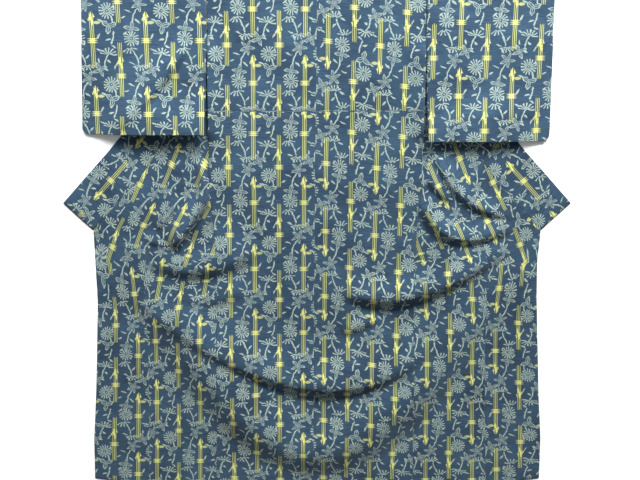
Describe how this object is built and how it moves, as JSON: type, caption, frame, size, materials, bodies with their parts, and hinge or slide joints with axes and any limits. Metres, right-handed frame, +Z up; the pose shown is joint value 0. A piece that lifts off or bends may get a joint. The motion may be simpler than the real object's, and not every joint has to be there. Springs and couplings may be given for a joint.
{
  "type": "tsumugi kimono spread flat",
  "caption": "Kimono of indigo tsumugi silk, woven with bamboo stripes and chrysanthemums, spread flat with its back up.",
  "frame": {"origin": "on the surface it lies on, under the middle of the garment's box", "axes": "+Z up out of the surface, +Y from the hem to the collar, +X to the sleeve that is on the right when seen from above with the collar away from the viewer"},
  "size_m": [1.454, 1.644, 0.0243],
  "materials": {
    "tsumugi_cloth": "matt hand-woven silk with pale and yellow kasuri threads"
  },
  "bodies": {
    "root": {"back_left": "tsumugi_cloth", "back_right": "tsumugi_cloth", "front_left": "tsumugi_cloth", "front_right": "tsumugi_cloth", "overlap_left": "tsumugi_cloth", "overlap_right": "tsumugi_cloth", "collar": "tsumugi_cloth", "sleeve_left": "tsumugi_cloth", "sleeve_right": "tsumugi_cloth"}
  },
  "joints": []
}
